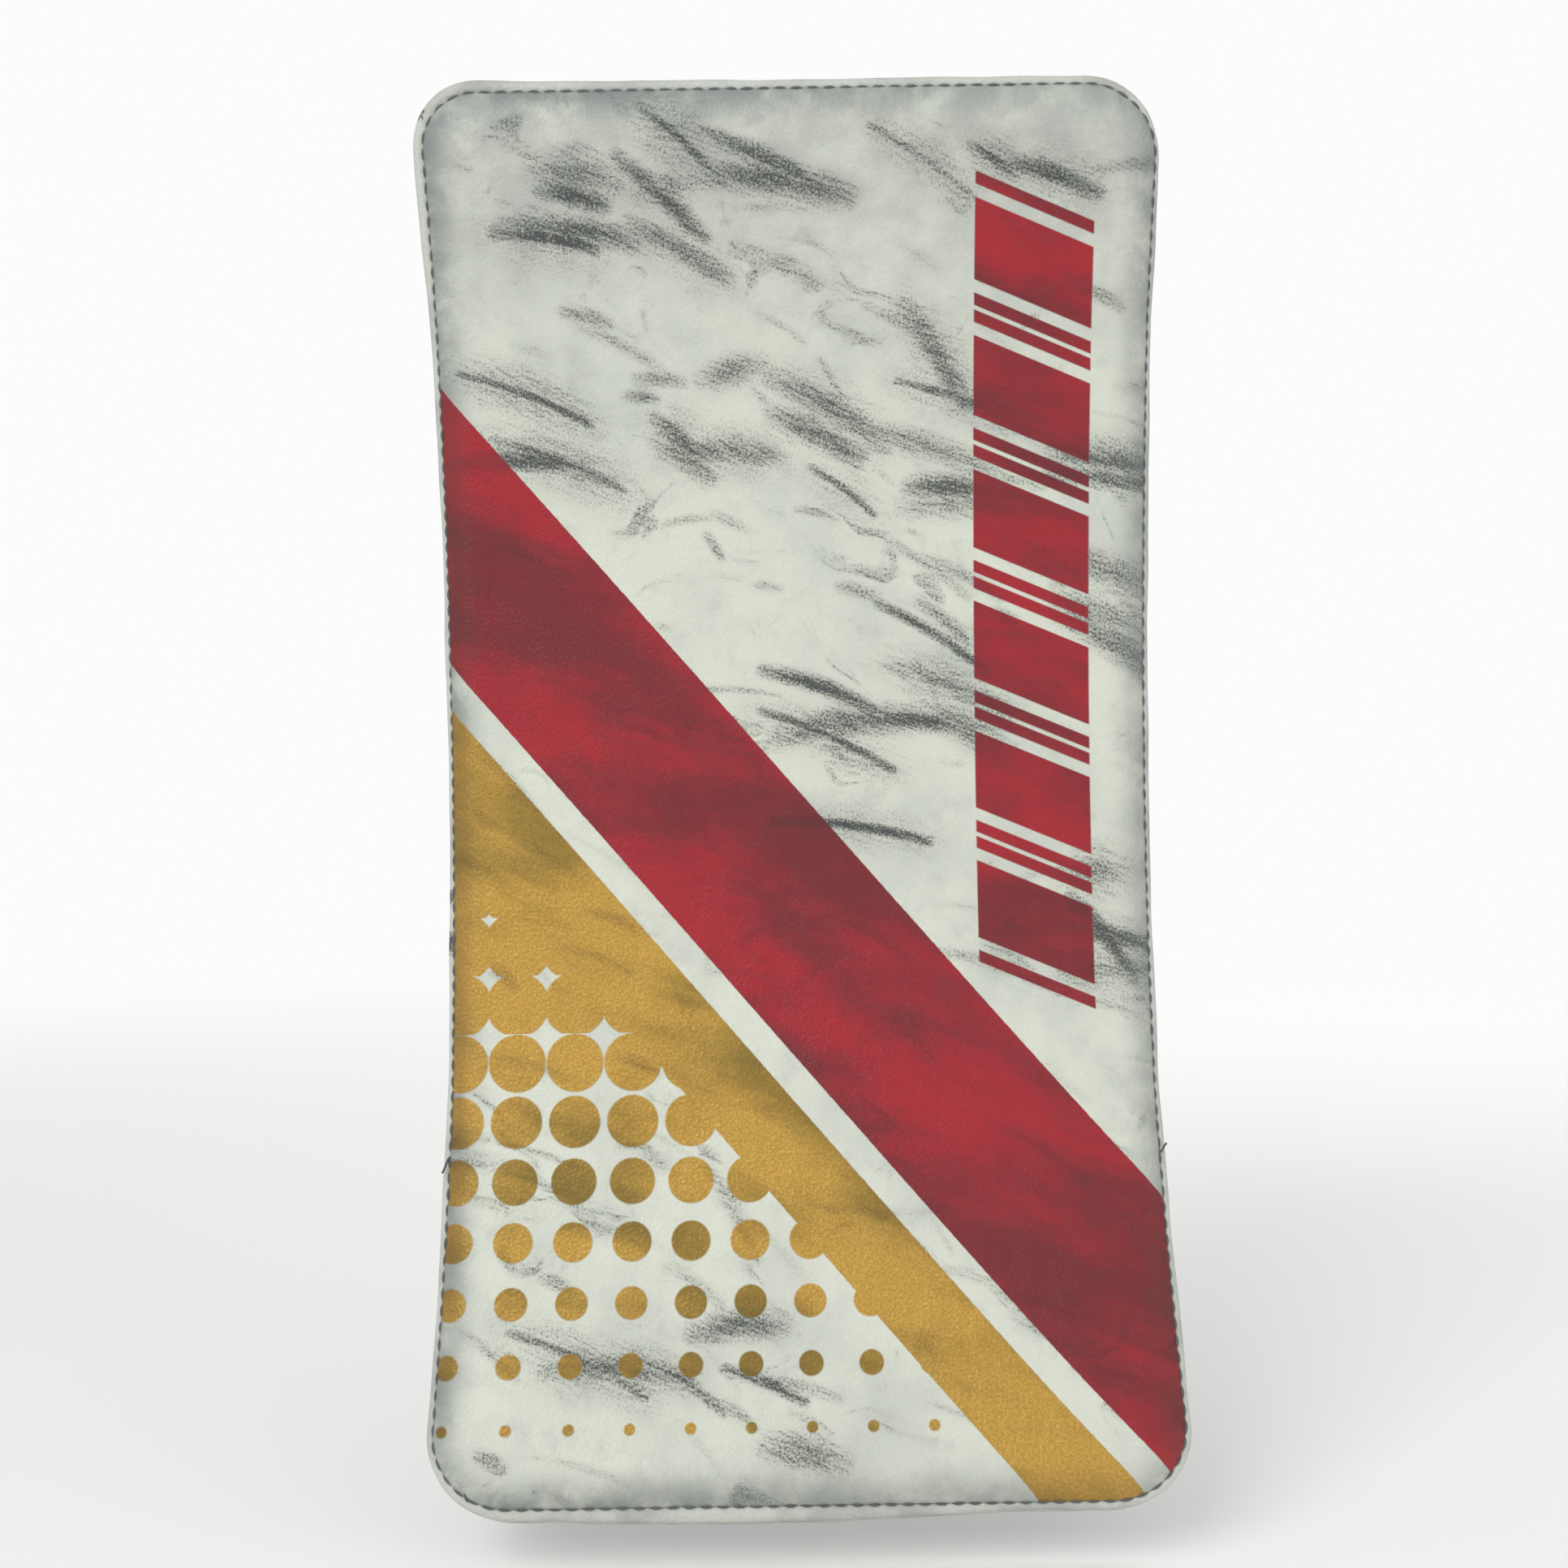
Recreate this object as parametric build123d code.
"""Ice hockey goalie blocker, for the right hand.

A padded board bends round two large arcs, so that its strike face is hollow along its length.
A glove with an open cuff is bolted to the board's back. Its fingers point down and its palm faces
away from the board. X runs across the board towards the thumb, Y from the strike face towards the
palm, and Z up the board towards the cuff. The origin is the middle of the board's bottom end wall.
All sizes are in millimetres and all angles in degrees.
"""

from build123d import *
from math import cos, degrees, hypot, radians, sin
import os

os.makedirs("parts", exist_ok=True)

# The board
BOARD_WIDTH = 203.0
BOARD_THICKNESS = 28.0
LOWER_RADIUS = 480.0  # of the strike face below the bend line
UPPER_RADIUS = 680.0  # of the strike face above the bend line
LOWER_TURN = 23.45
UPPER_TURN = 16.2
FRONT_ROUND = 10.0
BACK_ROUND = 3.0
BOTTOM_CORNER = 21.0
TOP_CORNER_THUMB = 21.0
TOP_CORNER_OUTER = 16.0

# What the board is made of, as depths behind the strike face
SKIN = 1.2
GAP = 0.1  # between neighbouring pieces
SEAM_DEPTH = 4.0
PIPING_DEPTH = 5.0
GUSSET_DEPTH = 7.8
PIPING_PROUD = 0.6
FACE_FOAM_BACK = 12.0
PLATE_THICKNESS = 3.0
PLATE_INSET = 2.5
BACK_COVER = 3.0  # fabric laminated on thin foam

# Screws that hold the glove on
SCREW_RADIUS = 2.4
SCREW_CLEARANCE = 0.08
SCREW_HEAD_RADIUS = 5.5
SCREW_HEAD_HEIGHT = 1.8
SCREW_SLOT_WIDTH = 1.2
POCKET_DEPTH = 4.0  # in the hand padding, over each screw head
NUT_FLANGE_RADIUS = 9.5
NUT_FLANGE = 1.4
NUT_BARREL_RADIUS = 3.4
NUT_BARREL_LENGTH = 9.0
WASHER_RADIUS = 7.5
WASHER_THICKNESS = 1.0
SCREW_X = (-34.0, 22.0)
SCREW_RISE = (14.0, 62.0)  # above the bend line

# The glove
GLOVE_LEFT = -59.0
GLOVE_RIGHT = 47.0
GLOVE_RISE = 1.0  # from the bend line up to the palm's lower edge
GLOVE_LENGTH = 83.0
LEATHER = 1.3
HAND_PLATE = 2.0
PALM_WALL = 2.2
PALM_HEIGHT = 50.0  # from the board's back to the outside of the palm
PALM_ROUND = 18.0
HAND_PAD = 9.0
HAND_PAD_INSET = 4.0
PLATE_EDGE = 5.0  # from the glove's side to the hand plate
PATCH_MARGINS = (20.0, 18.0, 10.0, 20.0)  # left, right, below and above the palm patch
PATCH_CORNER = 12.0
PAD_EDGE = 4.0  # rounding of a pad's free edge
PAD_CORNER = 10.0
HAND_CORNER = 5.0
BED_DROP = 92.0  # from the knuckles to the lower end of the finger bed and side roll
BED_THICKNESS = 8.0
BEND_CLEARANCE = 1.0  # from the bend line down to the finger bed
ROLL_GAP = 3.0  # from the glove's side to the side roll
ROLL_WIDTH = 14.0
ROLL_HEIGHT = 38.0
ROLL_EDGE = 6.0
FINGER_HEIGHT = 27.0  # from the board's back to the fingers' axes
FINGER_RADIUS = 12.2
FINGER_WALL = 2.0
FINGER_PITCH = 26.0
INDEX_X = 33.0
KNUCKLE_DROP = 14.0  # from the bend line down to the knuckle hinges
MIDDLE_JOINT_SHARE = 0.46  # of a finger's length from knuckle to middle joint
STALL_MOUTH = 5.0  # how far a stall's root reaches past its hinge
JOINT_ROOM = 0.5  # between a finger's base and its tip
FINGER_LENGTHS = {"index": 80.0, "middle": 88.0, "ring": 82.0, "little": 66.0}

# The wing beside the index finger
WING_LEFT = 50.0
WING_THICKNESS = 11.0
WING_HEIGHT = 44.0
WING_CORNER = 15.0
WING_EDGE = 4.5
WING_DROPS = (56.0, 110.0)  # from the bend line down to its top and bottom
INSERT_DEPTH = 4.5  # of the hard insert inside the wing
INSERT_RISE = 8.0  # from the board's back to the insert

# The thumb
THUMB_X = 58.0
THUMB_RISE = 24.0
THUMB_HEIGHT = 28.0
THUMB_ANGLE = 22.0
THUMB_LENGTH = 54.0
THUMB_RADIUS = 14.0
THUMB_WALL = 2.4
GUARD_THICKNESS = 7.0
GUARD_REACH = 2.0  # how far the guard wraps past the thumb's middle
GUARD_GAP = 0.4
THUMB_MOUTH = 6.0
THUMB_INSERT = (2.8, 1.6)  # the insert pocket's depth in the guard, and its thickness
INSERT_SIDE = 5.0
INSERT_TOP = 3.0
THUMB_HOLE_ROOM = 1.5

# The cuff and its strap
CUFF_RISE = 88.0
CUFF_LENGTH = 96.0
CUFF_PAD = 9.0
CUFF_HEIGHT = 54.0
CUFF_LEFT = -64.0
CUFF_RIGHT = 56.0
CUFF_ROUND = 16.0
CUFF_SIDE_ROUND = 10.0
CUFF_GAP = 2.0  # between the flap and the floor
CUFF_WING_DROP = 4.0  # how much lower the fixed side is than the flap
CUFF_HINGE_RISE = 4.0  # from the board's back to the flap's lower edge
STRAP_LEFT = -44.0
STRAP_WIDTH = 38.0
STRAP_THICKNESS = 2.0
STRAP_RISE = 27.0  # above the cuff's lower edge
STRAP_END_RISE = 12.0  # from the board's back to the strap's free end
STRAP_ROUND = 14.0
LOOP_PATCH = (8.0, 36.0, 1.0)  # lower edge and upper edge above the board's back, and thickness
HOOK_PATCH = (14.0, 34.0, 0.8)

BIG = 400.0

# The board's geometry, worked out from the sizes above
MID_RADIUS = LOWER_RADIUS + BOARD_THICKNESS / 2
BEND_Z = MID_RADIUS * sin(radians(LOWER_TURN))
FACE_Y = LOWER_RADIUS - MID_RADIUS * cos(radians(LOWER_TURN))
BACK_Y = FACE_Y + BOARD_THICKNESS
KNUCKLE_Z = BEND_Z - KNUCKLE_DROP
FINGER_Y = BACK_Y + FINGER_HEIGHT
CUFF_Z = BEND_Z + CUFF_RISE


def board_point(angle, depth, above=None):
    """The point at an angle up from the bend line and a depth behind the strike face."""
    if above is None:
        above = angle >= 0
    radius = UPPER_RADIUS if above else LOWER_RADIUS
    turn = radians(angle)
    return Vector(0, FACE_Y - radius + (radius + depth) * cos(turn), BEND_Z + (radius + depth) * sin(turn))


def depth_of(point):
    """How far a point lies behind the strike face."""
    radius = UPPER_RADIUS if point.Z >= BEND_Z else LOWER_RADIUS
    return hypot(point.Y - FACE_Y + radius, point.Z - BEND_Z) - radius


def board_arc(first, last, depth):
    """An arc at one depth, from one angle to another on the same side of the bend line."""
    above = first + last > 0
    return ThreePointArc(*[board_point(a, depth, above) for a in (first, (first + last) / 2, last)])


def bent_slab(front, back, inset=0.0):
    """The board's outline with square corners, between two depths."""
    top = UPPER_TURN - degrees(inset / UPPER_RADIUS)
    bottom = degrees(inset / LOWER_RADIUS) - LOWER_TURN
    outline = Curve() + [
        board_arc(bottom, 0, front),
        board_arc(0, top, front),
        Line(board_point(top, front), board_point(top, back)),
        board_arc(top, 0, back),
        board_arc(0, bottom, back),
        Line(board_point(bottom, back), board_point(bottom, front)),
    ]
    return extrude(make_face(outline), BOARD_WIDTH / 2 - inset, both=True)


def edges_at_depth(shape, depth):
    """The edges that lie wholly at one depth, without those along the bend line."""
    tolerance = 0.02

    def along(edge, measure):
        return all(abs(measure(edge @ t)) < tolerance for t in (0, 0.5, 1))

    return [
        edge
        for edge in shape.edges()
        if along(edge, lambda p: depth_of(p) - depth) and not along(edge, lambda p: p.Z - BEND_Z)
    ]


def board_block(inset):
    """The board's rounded outer form, shrunk by inset on every side, or grown if it is negative."""
    front, back = inset, BOARD_THICKNESS - inset
    block = bent_slab(front, back, inset)
    for x_side, z_side, radius in (
        (-1, -1, BOTTOM_CORNER),
        (1, -1, BOTTOM_CORNER),
        (-1, 1, TOP_CORNER_OUTER),
        (1, 1, TOP_CORNER_THUMB),
    ):
        uprights = [e for e in block.edges() if abs(e.length - (back - front)) < 0.01]
        corner = max(uprights, key=lambda e: x_side * e.center().X + z_side * e.center().Z)
        block = fillet(corner, radius - inset)
    block = fillet(edges_at_depth(block, front), FRONT_ROUND - inset)
    return fillet(edges_at_depth(block, back), BACK_ROUND - inset)


def layer(front, back):
    """A bent slab that runs past the board on every side, for cutting a range of depths out."""
    return bent_slab(front, back, -12.0)


def column(left, right, bottom, top, corner):
    """A block along Y with rounded corners in the X-Z plane."""
    centre = Plane.XZ * Pos((left + right) / 2, (bottom + top) / 2)
    return extrude(centre * RectangleRounded(right - left, top - bottom, corner), BIG, both=True)


def pad(left, right, bottom, top, front, back, corner, edge_round=0.0):
    """A pad that lies on the board's back and bends with it."""
    shape = layer(front, back) & column(left, right, bottom, top, corner)
    return fillet(edges_at_depth(shape, back), edge_round) if edge_round else shape


def wall(left, right, height, thickness, corner, bottom, top):
    """A sleeve round the hand: a rounded box section along Z, open towards the board."""
    depth = 2 * height

    def section(inset):
        shape = RectangleRounded(right - left - 2 * inset, depth - 2 * inset, corner - inset)
        return Pos((left + right) / 2, BACK_Y) * shape

    return Pos(0, 0, bottom) * extrude(section(0) - section(thickness), top - bottom)


def box(left, right, near, far, bottom, top):
    """A box from its limits along X, Y and Z."""
    size = Box(right - left, far - near, top - bottom)
    return Pos((left + right) / 2, (near + far) / 2, (bottom + top) / 2) * size


def capsule(radius, length):
    """A rod along -Z from the origin, with a round end at each end."""
    rod = Pos(0, 0, -length / 2) * Cylinder(radius, length)
    return rod + Sphere(radius) + Pos(0, 0, -length) * Sphere(radius)


def screw_places():
    """The place of each screw, on the strike face and square to it, with its own Z axis towards the palm."""
    places = []
    for x in SCREW_X:
        for rise in SCREW_RISE:
            angle = degrees(rise / UPPER_RADIUS)
            point = board_point(angle, 0)
            places.append(Pos(x, point.Y, point.Z) * Rot(angle - 90, 0, 0))
    return places


def at_screws(front, back, radius):
    """Four cylinders on the screws' axes, between two depths."""
    rod = Pos(0, 0, (front + back) / 2) * Cylinder(radius, back - front)
    return [place * rod for place in screw_places()]


def board_parts():
    """The padded board: skins, foams, stiffener and the seam round the strike face."""
    outer = board_block(0)
    lining = board_block(SKIN)
    skin = outer - lining
    core = board_block(SKIN + GAP)
    plate_back = FACE_FOAM_BACK + GAP + PLATE_THICKNESS
    cover_front = BOARD_THICKNESS - BACK_COVER
    piping = (board_block(-PIPING_PROUD) - board_block(SKIN - GAP)) & layer(
        PIPING_DEPTH, GUSSET_DEPTH - GAP
    )
    thread = (board_block(GAP) - board_block(SKIN - GAP)) & layer(
        SEAM_DEPTH + GAP, PIPING_DEPTH - GAP
    )
    plate_outline = board_block(PLATE_INSET)
    nuts = at_screws(FACE_FOAM_BACK - NUT_FLANGE, plate_back + NUT_BARREL_LENGTH, NUT_BARREL_RADIUS + GAP)
    flanges = at_screws(FACE_FOAM_BACK - NUT_FLANGE - GAP, FACE_FOAM_BACK, NUT_FLANGE_RADIUS + GAP)
    screws = at_screws(FACE_FOAM_BACK, BOARD_THICKNESS + 2 * SCREW_HEAD_RADIUS, SCREW_RADIUS + GAP)
    return {
        "face_cover": skin & layer(-1.0, SEAM_DEPTH),
        "seam_thread": thread,
        "edge_piping": piping,
        "edge_gusset": skin & layer(GUSSET_DEPTH, cover_front - GAP),
        "face_foam": (core & layer(0, FACE_FOAM_BACK)) - flanges,
        "stiffener_plate": (plate_outline & layer(FACE_FOAM_BACK + GAP, plate_back)) - nuts,
        "core_foam": (core & layer(plate_back + GAP, cover_front - GAP)) - nuts - screws,
        "back_cover": (outer & layer(cover_front, BOARD_THICKNESS + 1)) - screws,
    }


def fastener_parts():
    """Four tee nuts behind the face foam, and the screws and washers that come from inside the glove."""
    flange_front = FACE_FOAM_BACK - NUT_FLANGE
    plate_back = FACE_FOAM_BACK + GAP + PLATE_THICKNESS
    barrel_back = plate_back + NUT_BARREL_LENGTH - GAP
    seat = BOARD_THICKNESS + GAP + LEATHER + GAP + HAND_PLATE
    bore = at_screws(flange_front - 1, barrel_back + 1, SCREW_RADIUS + SCREW_CLEARANCE)
    nuts = [
        (flange + barrel) - hole
        for flange, barrel, hole in zip(
            at_screws(flange_front, FACE_FOAM_BACK, NUT_FLANGE_RADIUS),
            at_screws(flange_front, barrel_back, NUT_BARREL_RADIUS),
            bore,
        )
    ]
    washers = [
        disc - hole
        for disc, hole in zip(
            at_screws(seat + GAP, seat + GAP + WASHER_THICKNESS, WASHER_RADIUS),
            at_screws(seat, seat + 2, SCREW_RADIUS + SCREW_CLEARANCE),
        )
    ]
    head = seat + 2 * GAP + WASHER_THICKNESS
    slot = Box(2 * SCREW_HEAD_RADIUS, SCREW_SLOT_WIDTH, SCREW_HEAD_HEIGHT)
    slot = Pos(0, 0, head + SCREW_HEAD_HEIGHT) * slot
    screws = [
        (shank + top) - place * slot
        for shank, top, place in zip(
            at_screws(FACE_FOAM_BACK, head + GAP, SCREW_RADIUS),
            at_screws(head, head + SCREW_HEAD_HEIGHT, SCREW_HEAD_RADIUS),
            screw_places(),
        )
    ]
    return {
        "tee_nuts": Compound(nuts),
        "mount_washers": Compound(washers),
        "mount_screws": Compound(screws),
    }


def glove_parts():
    """The glove's fixed pieces: its back, hand plate, padding, palm and side roll."""
    bottom, top = BEND_Z + GLOVE_RISE, BEND_Z + GLOVE_RISE + GLOVE_LENGTH
    back_front = BOARD_THICKNESS + GAP
    plate_front = back_front + LEATHER + GAP
    pad_front = plate_front + HAND_PLATE + GAP
    palm_edge = back_front + LEATHER + GAP
    holes = at_screws(back_front - 1, pad_front, SCREW_RADIUS + SCREW_CLEARANCE)
    pockets = at_screws(pad_front - 1, pad_front + POCKET_DEPTH, WASHER_RADIUS + 1)
    palm = wall(GLOVE_LEFT, GLOVE_RIGHT, PALM_HEIGHT, PALM_WALL, PALM_ROUND, bottom, top)
    palm -= layer(-BIG / 2, palm_edge)
    palm -= box(-BIG, BIG, -BIG, BACK_Y - PALM_ROUND, 0, BIG)
    thumb_hole = Pos(GLOVE_RIGHT, BACK_Y + THUMB_HEIGHT, BEND_Z + THUMB_RISE) * Rot(0, 90, 0)
    palm -= thumb_hole * Cylinder(THUMB_RADIUS + THUMB_HOLE_ROOM, 4 * PALM_WALL)
    left, right, below, above = PATCH_MARGINS
    patch_front = BACK_Y + PALM_HEIGHT + GAP
    patch = column(GLOVE_LEFT + left, GLOVE_RIGHT - right, bottom + below, top - above, PATCH_CORNER)
    patch &= box(-BIG, BIG, patch_front, patch_front + LEATHER, 0, BIG)
    low = KNUCKLE_Z - BED_DROP
    roll_right = GLOVE_LEFT - ROLL_GAP

    def hand_pad(inset, front, thickness, edge_round=0.0):
        sides = GLOVE_LEFT + inset, GLOVE_RIGHT - inset, bottom + inset / 2, top - inset / 2
        return pad(*sides, front, front + thickness, HAND_CORNER + inset / 2, edge_round)

    return {
        "glove_back": hand_pad(0, back_front, LEATHER) - holes,
        "hand_plate": hand_pad(PLATE_EDGE, plate_front, HAND_PLATE) - holes,
        "backhand_pad": hand_pad(HAND_PAD_INSET, pad_front, HAND_PAD, PAD_EDGE) - pockets,
        "palm_shell": palm,
        "palm_patch": patch,
        "finger_bed": pad(
            GLOVE_LEFT,
            GLOVE_RIGHT,
            low,
            BEND_Z - BEND_CLEARANCE,
            back_front,
            back_front + BED_THICKNESS,
            PAD_CORNER,
            PAD_EDGE,
        ),
        "side_roll": pad(
            roll_right - ROLL_WIDTH,
            roll_right,
            low,
            top,
            back_front,
            back_front + ROLL_HEIGHT,
            ROLL_EDGE,
            ROLL_EDGE,
        ),
    }


def stall(radius, thickness, length, mouth):
    """A hollow stall along -Z with a round end, cut open a little way above the origin."""
    shell = capsule(radius, length) - capsule(radius - thickness, length)
    return shell - box(-BIG, BIG, -BIG, BIG, mouth, BIG)


def finger_parts():
    """Each finger stall in two hollow pieces: a base on the knuckle hinge and a tip on the middle joint."""
    parts = {}
    room = FINGER_RADIUS + JOINT_ROOM
    for place, (name, length) in enumerate(FINGER_LENGTHS.items()):
        x = INDEX_X - place * FINGER_PITCH
        base_length = MIDDLE_JOINT_SHARE * length
        tip_length = length - base_length - FINGER_RADIUS
        knuckle = Pos(x, FINGER_Y, KNUCKLE_Z)
        joint = Pos(x, FINGER_Y, KNUCKLE_Z - base_length)
        palm_side = box(-BIG, BIG, 0, BIG, -BIG, room)
        below = box(-BIG, BIG, -BIG, BIG, -BIG, 0)
        base = stall(FINGER_RADIUS, FINGER_WALL, base_length, STALL_MOUTH)
        base -= Pos(0, 0, -base_length) * (Sphere(room) + palm_side + below)
        parts[name + "_finger_base"] = knuckle * base
        parts[name + "_finger_tip"] = joint * stall(FINGER_RADIUS, FINGER_WALL, tip_length, STALL_MOUTH)
    return parts


def thumb_parts():
    """The hollow thumb stall and the padded guard over its outer side, with a hard insert."""
    place = Pos(THUMB_X, BACK_Y + THUMB_HEIGHT, BEND_Z + THUMB_RISE) * Rot(0, -THUMB_ANGLE, 0)
    inside = THUMB_RADIUS + GUARD_GAP
    depth, thickness = THUMB_INSERT

    def shell(from_inside, wide, left, top):
        whole = stall(inside + from_inside + wide, wide, THUMB_LENGTH, top)
        return whole & box(left, BIG, -BIG, BIG, -BIG, BIG)

    pocket = shell(depth, thickness, INSERT_SIDE, -INSERT_TOP)
    insert = shell(depth + GAP, thickness - 2 * GAP, INSERT_SIDE + GAP, -INSERT_TOP - GAP)
    return {
        "thumb_stall": place * stall(THUMB_RADIUS, THUMB_WALL, THUMB_LENGTH, THUMB_MOUTH),
        "thumb_guard": place * (shell(0, GUARD_THICKNESS, -GUARD_REACH, THUMB_MOUTH) - pocket),
        "thumb_guard_insert": place * insert,
    }


def index_guard_parts():
    """A padded wing beside the index finger, with a hard insert."""
    top, bottom = (BEND_Z - drop for drop in WING_DROPS)
    near, far = BACK_Y - WING_CORNER, BACK_Y + WING_HEIGHT

    def slab(inset):
        outline = RectangleRounded(far - near - 2 * inset, top - bottom - 2 * inset, WING_CORNER - inset)
        place = Plane.YZ * Pos((near + far) / 2, (bottom + top) / 2)
        return Pos(WING_LEFT + inset, 0, 0) * extrude(place * outline, WING_THICKNESS - 2 * inset)

    def room(rise):
        return box(-BIG, BIG, BACK_Y + rise, BIG, 0, BIG)

    wing = slab(0)
    wing = fillet(wing.faces().filter_by(Axis.X).edges(), WING_EDGE)
    wing -= layer(-BIG / 2, BOARD_THICKNESS + GAP)
    return {
        "index_guard": wing - (slab(INSERT_DEPTH) & room(INSERT_RISE)),
        "index_guard_insert": slab(INSERT_DEPTH + GAP) & room(INSERT_RISE + GAP),
    }


def cuff_parts():
    """The padded cuff: a floor and a fixed side on the board, and a flap that opens."""
    top = CUFF_Z + CUFF_LENGTH
    base_front = BOARD_THICKNESS + GAP
    inner_right = CUFF_RIGHT - CUFF_PAD
    floor_left = CUFF_LEFT + CUFF_PAD + CUFF_GAP
    side_height = CUFF_HEIGHT - CUFF_WING_DROP
    side = wall(-CUFF_RIGHT, CUFF_RIGHT, side_height, CUFF_PAD, CUFF_SIDE_ROUND, CUFF_Z, top)
    side &= box(inner_right, BIG, -BIG, BIG, 0, BIG)
    side &= layer(base_front, BIG / 2)
    flap = wall(CUFF_LEFT, -CUFF_LEFT, CUFF_HEIGHT, CUFF_PAD, CUFF_ROUND, CUFF_Z, top)
    flap &= box(-BIG, inner_right - 1, BACK_Y + CUFF_HINGE_RISE, BIG, 0, BIG)
    return {
        "cuff_floor": pad(
            floor_left,
            inner_right - GAP,
            CUFF_Z,
            top,
            base_front,
            base_front + CUFF_PAD,
            PAD_CORNER,
            PAD_EDGE,
        ),
        "cuff_side": side,
        "cuff_palm": flap,
    }


def strap_parts():
    """The wrist strap, and the hook and loop patches that hold it to the cuff's fixed side."""
    bottom = CUFF_Z + STRAP_RISE
    top = bottom + STRAP_WIDTH

    def patch(left, edges_and_thickness, inset):
        lower, upper, thickness = edges_and_thickness
        return box(left, left + thickness, BACK_Y + lower, BACK_Y + upper, bottom + inset, top - inset)

    loop_left = CUFF_RIGHT + GAP
    hook_left = loop_left + LOOP_PATCH[2] + GAP
    right = hook_left + HOOK_PATCH[2] + GAP + STRAP_THICKNESS
    height = CUFF_HEIGHT + GAP + STRAP_THICKNESS
    strap = wall(-right, right, height, STRAP_THICKNESS, STRAP_ROUND, bottom, top)
    return {
        "strap_loop_patch": patch(loop_left, LOOP_PATCH, 0),
        "strap_hook_patch": patch(hook_left, HOOK_PATCH, 1),
        "wrist_strap": strap & box(STRAP_LEFT, BIG, BACK_Y + STRAP_END_RISE, BIG, 0, BIG),
    }


for group in (
    board_parts(),
    fastener_parts(),
    glove_parts(),
    finger_parts(),
    thumb_parts(),
    index_guard_parts(),
    cuff_parts(),
    strap_parts(),
):
    for node, shape in group.items():
        export_step(shape, f"parts/{node}.step")
